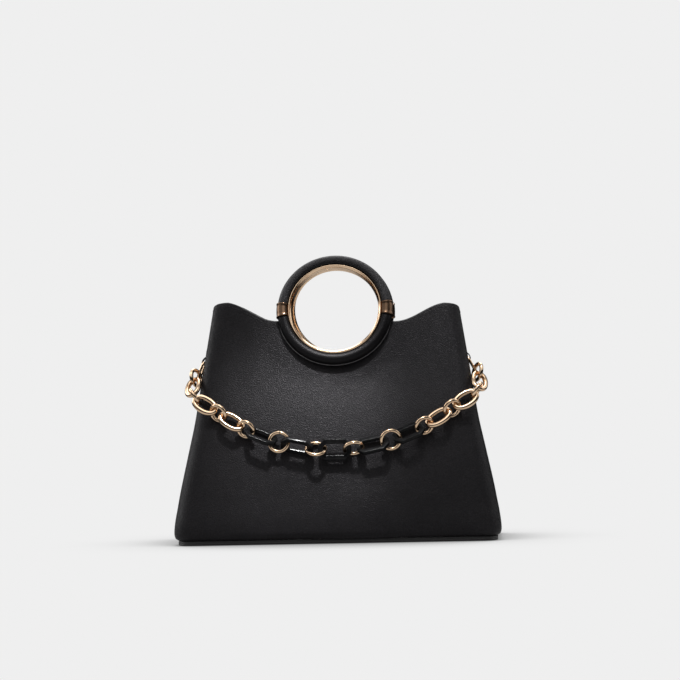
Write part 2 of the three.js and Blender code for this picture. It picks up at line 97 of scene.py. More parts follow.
# The sole's edge from its underside to its top: height, and how far it stands in
SOLE_EDGE = [
    (0.0, 1.3), (0.12, 0.75), (0.4, 0.3), (0.85, 0.0), (1.9, 0.0), (2.1, 0.14), (2.35, 0.14),
    (2.55, 0.0), (3.75, 0.0), (4.15, 0.3), (4.4, 0.75), (4.52, 1.3),
]
SOLE_CORNER_STEPS = 14

# Ring handles

RING = {"y": -22.0, "z": 214.0, "tube_at": 47.75, "tube": 5.75, "cut": 51.7}
LINER_OUTER = 44.0
# Half of the liner's section, from its outer wall over its lip to its inner groove: radius and height
LINER_HALF = [(LINER_OUTER, 4.1), (42.8, 5.3), (42.3, 5.3), (40.6, 3.2), (40.6, 0.45), (40.95, 0.18)]
LINER_ROUND = {"radius": 0.5, "steps": 4}
FERRULE_END = 6.2
# Half of a ferrule, from its rolled rim to its middle: place along the tube and radius
FERRULE_HALF = [
    (FERRULE_END, 6.77), (6.116, 6.966), (5.92, 7.05), (5.2, 7.05), (5.1, 6.97), (4.95, 6.71),
    (4.82, 6.65), (2.8, 6.65), (0.9, 6.65),
]
SEAT = 0.3  # gap between the liner and the tube, and round a bar in its tab
WRAP_END = {"drawn": 0.22, "over": 1.2}  # how a wrap is drawn in where it enters a ferrule
WRAP_STEPS = 110
TUBE_POINTS = 44
LINER_STEPS = 220
WELT = {"wire": 1.1, "sides": 12, "taper": 12.0, "tip": 0.1}
WELT_TURNS = {"at": -9.0, "start": 196.0, "end": 344.0}  # degrees

# Chain: sizes under the names that the geometry trees take

WIRE_LINKS = {
    "round_link": {"Length": 19.2, "Width": 19.2, "Wire": 3.6},
    "spacer_ring": {"Length": 20.8, "Width": 20.8, "Wire": 3.3},
    "oval_link": {"Length": 27.4, "Width": 17.2, "Wire": 4.6},
}
SQUARENESS = {"round_link": 2.0, "spacer_ring": 2.0, "oval_link": 2.2}
BLACK_LINK = {
    "Length": 30.4, "Width": 19.2, "Bar": 4.5, "Thickness": 4.0, "Corner": 4.4, "Bend": 0.7, "Edge": 0.95,
}
JOINT_GAPS = {"round_link": 0.6, "spacer_ring": 1.5, "oval_link": 0.04}  # where the wire's ends meet
# Which way each ring's joint points
JOINT_TOWARDS = {
    "round_link": [(0.0, 0.9, -0.4)] * 8,
    "spacer_ring": [(0.1, -0.3, 1.0), (-0.75, -0.5, 0.6), (0.75, -0.5, 0.6), (-0.1, -0.3, 1.0)],
}
LOOP_POINTS = 97
WIRE_SIDES = 20
BEND_POINTS = 4
LINK_COUNTS = {"round_link": 8, "oval_link": 6, "spacer_ring": 4, "black_link": 5}

# Side rings and tabs

SIDE_RING = {"hole": 18.0, "leg": 6.0, "wire": 2.6, "corner": 2.6}
SIDE_RING_POINTS = {"round": 49, "corner": 9}
BAR_UP = SIDE_RING["leg"] + SIDE_RING["wire"] / 2  # from the middle of the ring's round end to its bar
BAR_HOLE = SIDE_RING["wire"] / 2 + SEAT
TAB = {"width": 9.0, "length": 13.0, "layer": 0.9, "round": 0.4}
# The fold round the bar: how far it turns past half, and where its layers come together
TAB_FOLD = {"past": 0.25, "lean": 2.4, "join": 5.8, "gap": 0.04}
# Points of the folded tab's path, and of the round of its edge
TAB_POINTS = {"down": 14, "round": 30, "back": 14, "up": 8, "edge": 4}
TUCK = {"z": 178.0, "up": 20.0}  # where the gussets are drawn in behind the tabs
TUCK_DEPTH = {-1: 0.8, 1: 3.4}  # left and right
TAB_STITCH_BOX = {"low": 7.0, "high": 11.8, "half_width": 3.2, "lift": 0.1}
STITCH = {"Pitch": 3.1, "Stitch Length": 2.35, "Stitch Width": 0.62, "Stitch Height": 0.42}
TAB_STITCH = {"Pitch": 2.0, "Stitch Length": 1.5, "Stitch Width": 0.5, "Stitch Height": 0.36}
STITCH_BEAD = {"Segments": 10, "Rings": 6, "Radius": 0.5}
# Top edge's stitches: drop from the edge, lift off the face, and columns left free at the seam
EDGE_STITCH = {"drop": 2.9, "lift": 0.05, "skip": 3}

# Camera, in the photograph's 680 by 680 frame

FRAME_PIXELS = 680
FOCAL_PIXELS = 2347
SENSOR = 36.0
CAMERA_AT = (134.3, -2195.9, 127.0)
CAMERA_AIM = (2.9, 0.24, 186.6)
CAMERA_ROLL = math.radians(1.25)
CAMERA_CLIP = (0.1, 50.0)  # metres


# Node helpers


def add(tree, kind, inputs=None, **settings):
    """A node of that kind, with its settings and its inputs set or linked."""
    node = tree.nodes.new(kind)
    for name, value in settings.items():
        setattr(node, name, value)
    for name, value in (inputs or {}).items():
        if isinstance(value, bpy.types.NodeSocket):
            tree.links.new(value, node.inputs[name])
        else:
            node.inputs[name].default_value = value
    return node


def maths(tree, operation, first, second=0.0):
    return add(tree, "ShaderNodeMath", {0: first, 1: second}, operation=operation).outputs[0]


def ranged(tree, value, low, high, to_low=0.0, to_high=1.0, curve="SMOOTHSTEP"):
    limits = {"Value": value, "From Min": low, "From Max": high, "To Min": to_low, "To Max": to_high}
    return add(tree, "ShaderNodeMapRange", limits, interpolation_type=curve).outputs["Result"]


def blended(tree, share, low, high):
    """A colour between two, by a share that changes over the surface."""
    node = add(tree, "ShaderNodeMix", {"Factor": share}, data_type="RGBA")
    colours = [socket for socket in node.inputs if socket.type == "RGBA"]
    for socket, value in zip(colours, (low, high)):
        socket.default_value = (*value, 1.0)
    return [socket for socket in node.outputs if socket.type == "RGBA"][0]


def noise(tree, where, scale, detail=2.0, distortion=0.0):
    inputs = {"Vector": where, "Scale": scale, "Detail": detail, "Distortion": distortion}
    return add(tree, "ShaderNodeTexNoise", inputs).outputs


def slant_waves(tree, where, scale, distortion, detail=2.0):
    inputs = {"Vector": where, "Scale": scale, "Distortion": distortion, "Detail": detail}
    return add(tree, "ShaderNodeTexWave", inputs, bands_direction="DIAGONAL").outputs["Fac"]


def new_tree(name, kind, inputs, outputs):
    """A node group with named sockets, and its input and output nodes."""
    tree = bpy.data.node_groups.new(name, kind)
    for label, socket in inputs:
        tree.interface.new_socket(label, in_out="INPUT", socket_type=socket)
    for label, socket in outputs:
        tree.interface.new_socket(label, in_out="OUTPUT", socket_type=socket)
    return tree, tree.nodes.new("NodeGroupInput"), tree.nodes.new("NodeGroupOutput")


FLOAT = "NodeSocketFloat"
VECTOR = "NodeSocketVector"
GEOMETRY = "NodeSocketGeometry"
MATERIAL = "NodeSocketMaterial"


# Shader groups: scales are to the metre, or multiples of the count of pebbles or smudges

GRAIN = {"warp_scale": 0.4, "warp": 0.0007, "lump_scale": 1.7, "crease_height": 0.2}
HIDE = {"scale": 38.0, "detail": 4.0}
HAIR = {"scale": 16.0, "detail": 2.0, "distortion": 1.5}


def shader_group(name, sizes, results):
    """A shader group that takes a place and sizes by name, and gives numbers by name."""
    inputs = [("Vector", VECTOR), *((size, FLOAT) for size in sizes)]
    tree, given, made = new_tree(name, "ShaderNodeTree", inputs, [(result, FLOAT) for result in results])
    return tree, given.outputs, made.inputs


def leather_grain_group():
    """Small irregular pebbles parted by creases, with slow changes of tone across the hide."""
    sizes, results = ("Pebbles per Metre", "Crease Width"), ("Height", "Crease", "Tone")
    tree, given, made = shader_group("leather_grain", sizes, results)
    where, count = given["Vector"], given["Pebbles per Metre"]
    warp = noise(tree, where, maths(tree, "MULTIPLY", count, GRAIN["warp_scale"]))["Color"]
    shift = add(tree, "ShaderNodeVectorMath", {0: warp, "Scale": GRAIN["warp"]}, operation="SCALE")
    bent = add(tree, "ShaderNodeVectorMath", {0: where, 1: shift.outputs[0]}).outputs[0]
    pebbles = {"Vector": bent, "Scale": count}
    cells = add(tree, "ShaderNodeTexVoronoi", pebbles, feature="DISTANCE_TO_EDGE")
    crease = ranged(tree, cells.outputs["Distance"], 0.0, given["Crease Width"])
    fine = noise(tree, where, maths(tree, "MULTIPLY", count, GRAIN["lump_scale"]), 0.0)["Fac"]
    raised = maths(tree, "MULTIPLY", crease, GRAIN["crease_height"])
    height = maths(tree, "ADD", raised, ranged(tree, fine, 0.2, 0.8))
    tone = ranged(tree, noise(tree, where, HIDE["scale"], HIDE["detail"])["Fac"], 0.3, 0.7)
    for result, value in zip(results, (height, crease, tone)):
        tree.links.new(value, made[result])
    return tree


def polish_group():
    """Faint smudges and hairlines of handled metal or enamel."""
    tree, given, made = shader_group("handled_polish", ("Smudges per Metre",), ("Smudge", "Hairline"))
    where, count = given["Vector"], given["Smudges per Metre"]
    smudge = noise(tree, where, count, 3.0)["Fac"]
    hair_scale = maths(tree, "MULTIPLY", count, HAIR["scale"])
    hair = noise(tree, where, hair_scale, HAIR["detail"], HAIR["distortion"])["Fac"]
    tree.links.new(ranged(tree, smudge, 0.35, 0.7), made["Smudge"])
    tree.links.new(hair, made["Hairline"])
    return tree


LEATHER_GRAIN = leather_grain_group()
HANDLED_POLISH = polish_group()


# Materials

FINE = 0.0001  # metres of relief in paint, cloth and polish
CREASE_WIDTH = 0.25
CREASE_DULL = 0.12  # how much rougher a crease is than a pebble
WORN = 0.03  # how much smoother the lighter patches are
LEATHER_TINT = (0.985, 0.96, 1.0, 1.0)


def new_material(name):
    material = bpy.data.materials.new(name)
    material.use_nodes = True
    tree = material.node_tree
    shader = tree.nodes["Principled BSDF"]
    where = add(tree, "ShaderNodeTexCoord").outputs["Object"]
    return material, tree, shader, where


def dress(tree, shader, colour, rough, height, strength, distance):
    """Links the colour, roughness and bump that change over a surface."""
    tree.links.new(colour, shader.inputs["Base Color"])
    tree.links.new(rough, shader.inputs["Roughness"])
    relief = add(tree, "ShaderNodeBump", {"Height": height, "Strength": strength, "Distance": distance})
    tree.links.new(relief.outputs["Normal"], shader.inputs["Normal"])


def set_values(shader, values):
    for name, value in values.items():
        shader.inputs[name].default_value = value


def leather(name, dark, light, pebbles, rough, depth, strength=1.0, shine=0.14):
    """Grained leather: dark in the creases as painted shade, a little lighter and shinier on the pebbles,
    with a tone that changes at random over the hide.
    """
    material, tree, shader, where = new_material(name)
    inputs = {"Vector": where, "Pebbles per Metre": pebbles, "Crease Width": CREASE_WIDTH}
    grain = add(tree, "ShaderNodeGroup", inputs, node_tree=LEATHER_GRAIN).outputs
    # Painted shade: the creases take the dark tone and the pebbles the light one, scaled by the hide's random
    # tone.
    tone = maths(tree, "MULTIPLY", grain["Crease"], ranged(tree, grain["Tone"], 0, 1, 0.5, 1))
    dull = ranged(tree, grain["Crease"], 0, 1, rough + CREASE_DULL, rough)
    dull = maths(tree, "SUBTRACT", dull, maths(tree, "MULTIPLY", grain["Tone"], WORN))
    dress(tree, shader, blended(tree, tone, dark, light), dull, grain["Height"], strength, depth)
    set_values(shader, {"Specular IOR Level": shine, "Specular Tint": LEATHER_TINT})
    return material


def edge_paint(name, colour, rough):
    """Lacquered cut edge: smooth, with the slight ripple of brushed coats."""
    material, tree, shader, where = new_material(name)
    coats = noise(tree, where, 420.0)["Fac"]
    tone = blended(tree, coats, colour, [c * 1.6 for c in colour])
    dress(tree, shader, tone, ranged(tree, coats, 0.3, 0.7, rough, rough + 0.12), coats, 0.25, FINE)
    return material


def lining_cloth(name, dark, light):
    """Plain charcoal twill on the inner walls."""
    material, tree, shader, where = new_material(name)
    slub = ranged(tree, noise(tree, where, 900.0)["Fac"], 0.2, 0.8, 0.6, 1)
    weave = maths(tree, "MULTIPLY", slant_waves(tree, where, 420.0, 0.6, 1.0), slub)
    dull = ranged(tree, weave, 0, 1, 0.9, 0.78)
    dress(tree, shader, blended(tree, weave, dark, light), dull, weave, 0.5, 2 * FINE)
    return material


def polished(name, colour, shade, rough, smudges, spread, hairline):
    """A smooth finish with faint smudges and hairlines."""
    material, tree, shader, where = new_material(name)
    inputs = {"Vector": where, "Smudges per Metre": smudges}
    polish = add(tree, "ShaderNodeGroup", inputs, node_tree=HANDLED_POLISH).outputs
    tone = blended(tree, polish["Smudge"], colour, shade)
    dull = ranged(tree, polish["Smudge"], 0, 1, rough, rough + spread)
    dress(tree, shader, tone, dull, polish["Hairline"], hairline, FINE)
    return material, shader


def metal(name, colour, shade, rough, smudges, hairline=0.012):
    """Plated metal."""
    material, shader = polished(name, colour, shade, rough, smudges, spread=0.07, hairline=hairline)
    set_values(shader, {"Metallic": 1.0})
    return material


def enamel(name, colour, shade, rough):
    """Glossy black enamel with a thin clear coat."""
    material, shader = polished(name, colour, shade, rough, smudges=160.0, spread=0.08, hairline=0.008)
    set_values(shader, {"Specular IOR Level": 0.11, "Coat Weight": 0.03, "Coat Roughness": 0.12})
    return material


def thread(name, dark, light):
    """Waxed black thread, twisted along each stitch."""
    material, tree, shader, where = new_material(name)
    ply = slant_waves(tree, where, 700.0, 0.8)
    dress(tree, shader, blended(tree, ply, dark, light), ranged(tree, ply, 0, 1, 0.6, 0.45), ply, 0.4, FINE)
    return material


# Dark tone for the painted crease shade and light tone for the pebbles, pebbles to the metre, roughness and
# the depth of the grain in metres
BODY_LEATHER = leather(
    "body_leather", (0.0095, 0.009, 0.0099), (0.019, 0.018, 0.0197), 750.0, 0.34, 0.00018,
)
# The upper half of a handle is painted lighter than the lower half, a painted highlight for the light from
# above, and is shinier and more grained.
UPPER_HANDLE_PAINTED_LIGHT = leather(
    "upper_handle_painted_light", (0.004, 0.0038, 0.0042), (0.011, 0.0105, 0.0112), 800.0, 0.4, 0.00016, shine=0.4,
)
# A darker copy of the same black leather, painted shade on the ring's lower half; the side tabs use it too.
HANDLE_LEATHER_PAINTED_SHADE = leather(
    "handle_leather", (0.0038, 0.0036, 0.004), (0.007, 0.0067, 0.0071), 900.0, 0.34, 0.00006,
)
SOLE_LEATHER = leather(
    "sole_leather", (0.01, 0.0097, 0.0102), (0.017, 0.0165, 0.017), 900.0, 0.45, 0.00004, strength=0.8,
)
EDGE_PAINT = edge_paint("painted_edge", (0.011, 0.0105, 0.011), 0.34)
LINING = lining_cloth("charcoal_lining", (0.016, 0.016, 0.017), (0.035, 0.034, 0.036))
ROSE_GOLD = metal("rose_gold", (0.79, 0.58, 0.395), (0.74, 0.52, 0.345), 0.1, 90.0)
# The ferrules' bronze is painted far darker than the gold: partly painted shade, as they face the dark front
# of the room.
BRONZE_PAINTED_SHADE = metal("bronze_painted_shade", (0.165, 0.103, 0.067), (0.13, 0.08, 0.05), 0.24, 140.0, 0.06)
ENAMEL = enamel("black_enamel", (0.006, 0.006, 0.0065), (0.011, 0.011, 0.0115), 0.16)
# The welt is painted light grey: a painted highlight line under the ring's shaded lower half.
WELT_PAINTED_HIGHLIGHT = edge_paint("welt_painted_highlight", (0.15, 0.145, 0.15), 0.3)
THREAD = thread("black_thread", (0.006, 0.006, 0.006), (0.016, 0.015, 0.016))


# Mesh helpers


def shares(count):
    """Even steps up to one."""
    return [k / count for k in range(1, count + 1)]


def unit(vectors):
    return vectors / np.linalg.norm(vectors, axis=-1, keepdims=True)


def box_corners(half_x, half_y):
    return [(half_x, half_y), (-half_x, half_y), (-half_x, -half_y), (half_x, -half_y)]


def outward(points, faces):
    """The faces, turned to point out of the closed shape."""
    points = np.asarray(points, float)
    volume = 0.0
    for face in faces:
        fan = points[face]
        for k in range(1, len(face) - 1):
            volume += float(np.dot(fan[0], np.cross(fan[k], fan[k + 1])))
    return faces if volume > 0 else [face[::-1] for face in faces]


def band(near, far):
    """Faces between two closed rows of point numbers."""
    return np.column_stack([near, np.roll(near, -1), np.roll(far, -1), far]).tolist()


def skin_over(loops, closed):
    """Points and faces over a row of equal loops, which closes on itself or has flat ends."""
    points = np.concatenate(loops)
    rows = np.arange(len(points)).reshape(len(loops), -1)
    faces = []
    for near, far in zip(rows, np.roll(rows, -1, axis=0) if closed else rows[1:]):
        faces += band(near, far)
    if not closed:
        faces += [rows[0][::-1].tolist(), rows[-1].tolist()]
    return points, outward(points, faces)


def joined(shapes):
    """Several shapes as one: points, faces and the material number of each face."""
    points, faces, finishes = [], [], []
    count = 0
    for shape_points, shape_faces, finish in shapes:
        points.append(np.asarray(shape_points, float))
        faces.extend(tuple(k + count for k in face) for face in shape_faces)
        finishes.extend([finish] * len(shape_faces))
        count += len(shape_points)
    return np.concatenate(points), faces, finishes


def in_scene(name, data):
    obj = bpy.data.objects.new(name, data)
    bpy.context.scene.collection.objects.link(obj)
    return obj


def new_object(name, points, faces, materials, finishes=None, edges=()):
    """A mesh object from points in millimetres, at the origin, with its place in its mesh."""
    mesh = bpy.data.meshes.new(name)
    mesh.from_pydata((np.asarray(points) * MM).tolist(), list(edges), faces)
    for material in materials:
        mesh.materials.append(material)
    if finishes is not None:
        mesh.polygons.foreach_set("material_index", finishes)
    mesh.polygons.foreach_set("use_smooth", [True] * len(faces))
    mesh.update()
    return in_scene(name, mesh)


def settle(obj, slot, *nodes, crisp=None):
    """The piece rides on the bag and stands for these nodes, which it hides.

    It is smooth but for edges sharper than the crisp angle, where one is given. The slot is not used.
    """
    if crisp is not None:
        obj.data.polygons.foreach_set("use_smooth", [True] * len(obj.data.polygons))
        obj.data.set_sharp_from_angle(angle=math.radians(crisp))
    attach(obj, "root")
    if nodes:
        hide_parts(*nodes)


def rounded(corners, radius, steps):
    """A closed outline with each corner of a polygon turned to an arc."""
    corners = np.asarray(corners, float)
    outline = []
    for last, corner, after in zip(np.roll(corners, 1, axis=0), corners, np.roll(corners, -1, axis=0)):
        to_last, to_next = unit(last - corner), unit(after - corner)
        half = math.acos(np.clip(np.dot(to_last, to_next), -1, 1)) / 2
        # An arc takes a little less than half of the shorter side at most.
        most = min(np.linalg.norm(last - corner), np.linalg.norm(after - corner)) / 2.05
        reach = min(radius / math.tan(half), most)
        size = reach * math.tan(half)
        centre = corner + unit(to_last + to_next) * size / math.sin(half)
        start, end = corner + to_last * reach - centre, corner + to_next * reach - centre
        swing = math.pi - 2 * half
        for share in (0.0, *shares(steps)):
            mixed = start * math.sin((1 - share) * swing) + end * math.sin(share * swing)
            outline.append(centre + mixed / math.sin(swing))
    return np.array(outline)


# Leather panels


def smooth_slopes(z, values):
    """Slopes of a smooth curve through a table that doesn't overshoot it."""
    steps = np.diff(values) / np.diff(z)
    product = steps[:-1] * steps[1:]
    total = steps[:-1] + steps[1:]
    inner = np.where(product > 0, 2 * product / np.where(total == 0, 1, total), 0)
    return np.concatenate([[steps[0]], inner, [steps[-1]]])


def body_section(heights):
    """The body's level section at each height, by name."""
    table = np.array(BODY_SECTIONS)
    z = table[:, 0]
    heights = np.clip(np.asarray(heights, float), z[0], z[-1])
    span = np.clip(np.searchsorted(z, heights, side="right") - 1, 0, len(z) - 2)
    width = z[span + 1] - z[span]
    t = (heights - z[span]) / width
    section = {}
    for k, name in enumerate(SECTION_COLUMNS[1:], start=1):
        values = table[:, k]
        slopes = smooth_slopes(z, values)
        section[name] = (
            values[span] * (1 + 2 * t) * (1 - t) ** 2
            + values[span + 1] * t ** 2 * (3 - 2 * t)
            + slopes[span] * width * t * (1 - t) ** 2
            - slopes[span + 1] * width * t ** 2 * (1 - t)
        )
    return section


def top_edge_at(x):
    run = (np.abs(x) - TOP_EDGE["trough_half"]) / (TOP_EDGE["peak_at"] - TOP_EDGE["trough_half"])
    rise = (1 - np.cos(np.pi * np.clip(run, 0, 1))) / 2
    return TOP_EDGE["trough"] + (TOP_EDGE["peak"] - TOP_EDGE["trough"]) * rise - TOP_EDGE["skew"] * x


def ring_scoop():
    """The round cut behind a ring: its middle's height on the outer face, and its radius."""
    face = float(body_section(RING["z"])["half_depth"])
    set_off = (-RING["y"] - face) * math.cos(LEAN)
    return RING["z"] - set_off * math.sin(LEAN), RING["cut"] + EDGE_BULGE


def half_columns(side):
    """Columns from the side seam to the middle of the face: stretch, place on it, top height and side."""
    peak = body_section(TOP_EDGE["peak"])
    face_half = float(peak["half_width"] - peak["corner_x"])
    scoop_z, scoop_radius = ring_scoop()

    def top_at(x):
        return float(top_edge_at(side * x)) - EDGE_BULGE

    shoulder = top_at(face_half)
    columns = [("seam", y, shoulder - TOP_SEAM_DROP) for y in SEAM_STEPS]
    for share in shares(GUSSET_COLUMNS):
        rise = (TOP_SEAM_DROP - TOP_CORNER_DROP) * share
        columns.append(("gusset", share, shoulder - TOP_SEAM_DROP + rise))
    for share in shares(CORNER_COLUMNS):
        columns.append(("corner", share, shoulder - TOP_CORNER_DROP * (1 - share) ** 2))
    edge_x = scoop_radius
    # A few rounds find where the scoop meets the top edge.
    for _ in range(4):
        edge_x = math.sqrt(scoop_radius ** 2 - ((scoop_z - top_at(edge_x)) / math.cos(LEAN)) ** 2)
    for share in shares(SHOULDER_COLUMNS):
        x = face_half + (edge_x - face_half) * share
        columns.append(("face", x / face_half, top_at(x)))
    last = math.asin(edge_x / scoop_radius)
    for share in shares(SCOOP_COLUMNS):
        turn = last * (1 - share)
        z = scoop_z - scoop_radius * math.cos(turn) * math.cos(LEAN)
        here = body_section(z)
        place = scoop_radius * math.sin(turn) / float(here["half_width"] - here["corner_x"])
        columns.append(("face", place, z))
    return [(*column, side) for column in columns]


def panel_heights(columns):
    """Heights of every row in every column, from the tucked lower edge to the top edge."""
    lower = list(TUCK_ROWS)
    count = int((UPPER_FROM - lower[-1]) / ROW_STEP)
    lower += list(np.linspace(lower[-1], UPPER_FROM, count + 1)[1:])
    tops = np.array([top for _, _, top, _ in columns])
    rows = [np.full(len(columns), z) for z in lower]
    for share in shares(UPPER_ROWS):
        rows.append(UPPER_FROM + (tops - UPPER_FROM) * share)
    return np.array(rows)


def drawn_in(side, z):
    """How far the left or right gusset is drawn in at a height."""
    return TUCK_DEPTH[side] * np.exp(-((z - TUCK["z"]) / TUCK["up"]) ** 2)


def surface_points(columns, heights, facing):
    """Points of a panel's outer face before its seam edge is turned in."""
    section = body_section(heights)
    grid = np.empty((*heights.shape, 3))
    grid[..., 2] = heights
    for j, (stretch, place, _, side) in enumerate(columns):
        here = {name: values[:, j] for name, values in section.items()}
        face_half = here["half_width"] - here["corner_x"]
        gusset_half = here["half_depth"] - here["corner_y"]
        if stretch == "face":
            across = place * face_half
            out = here["half_depth"] + here["belly"] * (1 - place ** 2)
        elif stretch == "corner":
            turn = place * math.pi / 2
            across = face_half + here["corner_x"] * math.cos(turn)
            out = gusset_half + here["corner_y"] * math.sin(turn)
        else:
            turned = SEAM_STEPS[-1]
            out = turned + (gusset_half - turned) * place if stretch == "gusset" else place
            fold = here["fold"] + drawn_in(side, heights[:, j])
            across = here["half_width"] - fold * (1 - out / gusset_half) ** 2
        grid[:, j, 0] = side * across
        grid[:, j, 1] = facing * out
    return grid


def swell_of(columns, points):
    """How far the soft face stands out or sinks in at each point. Gussets stay plain."""
    total = np.zeros(points.shape[:-1])
    share = np.array([{"face": 1.0, "corner": place}.get(stretch, 0.0) for stretch, place, _, _ in columns])
    for x, z, across, up, height in SWELLS:
        nearness = np.exp(-((points[..., 0] - x) / across) ** 2 - ((points[..., 2] - z) / up) ** 2)
        total += height * nearness
    scoop_z, scoop_radius = ring_scoop()
    from_ring = np.hypot(points[..., 0], (points[..., 2] - scoop_z) / math.cos(LEAN)) - scoop_radius
    free = np.clip(from_ring / SWELL_FADE, 0, 1) * share ** 2
    return total * free ** 2 * (3 - 2 * free)


def grid_normals(grid, facing):
    return unit(-facing * np.cross(np.gradient(grid, axis=1), np.gradient(grid, axis=0)))


def turned_in(columns, grid):
    """The outer face with its edge rolled into the side seam."""
    rolled = grid.copy()
    roll = SEAM_STEPS[-1]
    for j, (stretch, place, _, side) in enumerate(columns):
        if stretch == "seam":
            rolled[:, j, 0] -= side * (roll - math.sqrt(roll ** 2 - (roll - place) ** 2))
    return rolled


def wall_edge(grid, outer, inner):
    """The rounded edge round a panel: the grid points that it runs along, and its own rows of points."""
    sides = [grid[0], grid[1:-1, -1], grid[-1, ::-1], grid[-2:0:-1, 0]]
    bulges = [BASE_BULGE, SEAM_BULGE, EDGE_BULGE, SEAM_BULGE]
    rim = np.concatenate(sides)
    bulge = np.concatenate([np.full(len(side), size) for side, size in zip(sides, bulges)])[:, None]
    inside = np.pad(grid[1:-1, 1:-1], 1, mode="edge").ravel()[rim]
    here_out, here_in = outer[rim], inner[rim]
    tangent = np.roll(here_out, -1, axis=0) - np.roll(here_out, 1, axis=0)
    thick = here_out - here_in
    edge = unit(np.cross(tangent, thick))
    edge *= np.where(np.sum(edge * (here_out - outer[inside]), axis=1) < 0, -1, 1)[:, None]
    middle = (here_out + here_in) / 2
    strips = []
    for turn in np.radians(RIM_TURNS):
        strips.append(middle + thick / 2 * math.sin(turn) + edge * bulge * math.cos(turn))
    return rim, strips


def leather_wall(columns, facing):
    """Points, faces and finishes of one panel: leather outside, lining inside, a painted edge."""
    heights = panel_heights(columns)
    base = surface_points(columns, heights, facing)
    normals = grid_normals(base, facing)
    soft = base + normals * swell_of(columns, base)[..., None]
    inner = soft - normals * WALL
    outer = turned_in(columns, soft)
    grid = np.arange(heights.size).reshape(heights.shape)
    cells = np.stack([grid[:-1, :-1], grid[:-1, 1:], grid[1:, 1:], grid[1:, :-1]], axis=-1).reshape(-1, 4)
    faces = cells.tolist() + (cells[:, ::-1] + grid.size).tolist()
    finishes = [0] * len(cells) + [1] * len(cells)
    flat_outer, flat_inner = outer.reshape(-1, 3), inner.reshape(-1, 3)
    rim, strips = wall_edge(grid, flat_outer, flat_inner)
    own = np.arange(len(strips) * len(rim)).reshape(len(strips), -1) + 2 * grid.size
    rows = [rim, *own, rim + grid.size]
    for near, far in zip(rows, rows[1:]):
        faces += band(far, near)
    finishes += [2] * (len(faces) - len(finishes))
    points = np.concatenate([flat_outer, flat_inner, *strips])
    return points, outward(points, faces), finishes, outer, normals


def leather_panel(name, node, facing):
    """One panel with its lining and painted edge, and what the stitches on it need."""
    columns = half_columns(-1) + half_columns(1)[-2::-1]
    points, faces, finishes, outer, normals = leather_wall(columns, facing)
    panel = new_object(name, points, faces, [BODY_LEATHER, LINING, EDGE_PAINT], finishes)
    settle(panel, "leather", node)
    return columns, outer, normals


# Sole


def sole():
    """A slab with a rounded, grooved and painted edge."""
    loops = []
    for z, inset in SOLE_EDGE:
        corners = box_corners(SOLE["half_width"] - inset, SOLE["half_depth"] - inset)
        flat = rounded(corners, SOLE["corner"] - inset, SOLE_CORNER_STEPS)
        loops.append(np.column_stack([flat, np.full(len(flat), z)]))
    points, faces = skin_over(loops, closed=False)
    finishes = [1] * (len(faces) - 2) + [0, 2]
    obj = new_object("sole_base", points, faces, [SOLE_LEATHER, EDGE_PAINT, LINING], finishes)
    settle(obj, "sole_leather", "sole", crisp=CRISP_OVER["sole"])


# Ring handles


def ring_place(facing):
    """The ring's own frame: its plane leans back with the face, and its axis points out."""
    turn = Matrix.Rotation(0 if facing < 0 else math.pi, 4, "Z")
    seat = Matrix.Translation((0, RING["y"], RING["z"]))
    return np.array(turn @ seat @ Matrix.Rotation(math.pi / 2 - LEAN, 4, "X"))


def placed(points, place):
    return np.asarray(points) @ place[:3, :3].T + place[:3, 3]


def tube_section(radius):
    """A round section, flat where it lies on the liner: distance from the axis, and height."""
    reach = math.acos((LINER_OUTER + SEAT - RING["tube_at"]) / radius)
    angles = np.linspace(-reach, reach, TUBE_POINTS)
    return np.column_stack([RING["tube_at"] + radius * np.cos(angles), radius * np.sin(angles)])


def swung(section, angle):
    """A section of the ring turned round the ring's axis."""
    away, height = np.asarray(section).T
    return np.column_stack([away * math.cos(angle), away * math.sin(angle), height])


def along_ring(stations):
    """A skin over sections of the ring, each with its turn."""
    return skin_over([swung(section, turn) for section, turn in stations], closed=False)


def wrap_half(start):
    """Leather between two ferrules, drawn in a little where it enters them."""
    ends = FERRULE_END / RING["tube_at"]
    sweep = math.pi - 2 * ends
    stations = []
    for share in (0.0, *shares(WRAP_STEPS)):
        from_end = min(share, 1 - share) * sweep * RING["tube_at"]
        drawn = WRAP_END["drawn"] * math.exp(-from_end / WRAP_END["over"])
        stations.append((tube_section(RING["tube"] - drawn), start + ends + sweep * share))
    return along_ring(stations)


def welt():
    """A thin bead where the lower wrap meets the panel's edge, painted light grey as a painted highlight
    line.
    """
    turn = math.radians(WELT_TURNS["at"])
    centre = np.array([RING["tube_at"] + RING["tube"] * math.cos(turn), RING["tube"] * math.sin(turn)])
    angles = np.linspace(0, 2 * math.pi, WELT["sides"], endpoint=False)
    stations = []
    for share in (0.0, *shares(WRAP_STEPS)):
        size = WELT["wire"] / 2 * min(1.0, WELT["taper"] * min(share, 1 - share) + WELT["tip"])
        section = centre + size * np.column_stack([np.cos(angles), np.sin(angles)])
        at = WELT_TURNS["start"] + (WELT_TURNS["end"] - WELT_TURNS["start"]) * share
        stations.append((section, math.radians(at)))
    return along_ring(stations)


def ferrule(middle):
    """A sleeve with a rolled rim at each end."""
    profile = [(-at, size) for at, size in FERRULE_HALF] + FERRULE_HALF[::-1]
    return along_ring([(tube_section(size), middle + at / RING["tube_at"]) for at, size in profile])


def liner_section():
    """The gold liner: rounded lips, a sloped inner bevel and a fine groove round its inner wall."""
    corners = LINER_HALF + [(radius, -height) for radius, height in LINER_HALF[::-1]]
    return rounded(corners, LINER_ROUND["radius"], LINER_ROUND["steps"])


